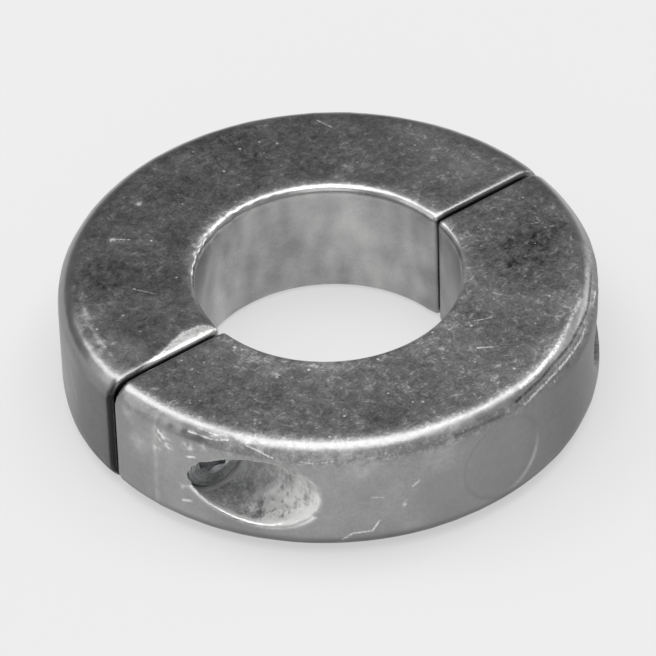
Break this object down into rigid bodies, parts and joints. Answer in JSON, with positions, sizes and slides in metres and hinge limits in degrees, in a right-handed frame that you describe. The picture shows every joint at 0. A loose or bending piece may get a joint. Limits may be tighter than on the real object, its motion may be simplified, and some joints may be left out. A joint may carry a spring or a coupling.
{
  "type": "shaft collar",
  "caption": "Two-piece clamping shaft collar: cast half rings drawn together on a shaft by socket-head screws sunk in pockets in the rim.",
  "frame": {"origin": "middle of the bore, half way through the collar's width", "axes": "+Z along the shaft, +X along the split, and the half with the screw pockets on the -Y side"},
  "size_m": [0.061, 0.0608, 0.015],
  "materials": {
    "cast_zinc": "cast zinc, dull grey and mottled, bright where it is rubbed",
    "screw_steel": "bright stainless steel, turned and rolled",
    "washer_steel": "stainless spring steel, tumbled",
    "insert_steel": "turned stainless steel"
  },
  "bodies": {
    "rear_half": {"rear_half": "cast_zinc", "insert_left": "insert_steel", "insert_right": "insert_steel"},
    "front_half": {"front_half": "cast_zinc"},
    "washer_left": {"washer_left": "washer_steel"},
    "screw_left": {"screw_left": "screw_steel"},
    "washer_right": {"washer_right": "washer_steel"},
    "screw_right": {"screw_right": "screw_steel"}
  },
  "joints": [
    {"name": "front_half_slide", "type": "slide", "parent": "rear_half", "child": "front_half", "axis": [0, -1, 0], "range_m": [-0.0004, 0.04]},
    {"name": "screw_left_travel", "type": "slide", "parent": "front_half", "child": "washer_left", "axis": [0, -1, 0], "range_m": [0, 0.0112]},
    {"name": "screw_left_turn", "type": "hinge", "parent": "washer_left", "child": "screw_left", "pos_m": [-0.0237, 0, 0.0005], "axis": [0, -1, 0], "range_deg": [0, 5045]},
    {"name": "screw_right_travel", "type": "slide", "parent": "front_half", "child": "washer_right", "axis": [0, -1, 0], "range_m": [0, 0.0112]},
    {"name": "screw_right_turn", "type": "hinge", "parent": "washer_right", "child": "screw_right", "pos_m": [0.0237, 0, 0.0005], "axis": [0, -1, 0], "range_deg": [0, 5045]}
  ],
  "couplings": [
    {"joint": "screw_left_turn", "follows": "screw_left_travel", "rad_per_m": 7854},
    {"joint": "screw_right_turn", "follows": "screw_right_travel", "rad_per_m": 7854}
  ]
}
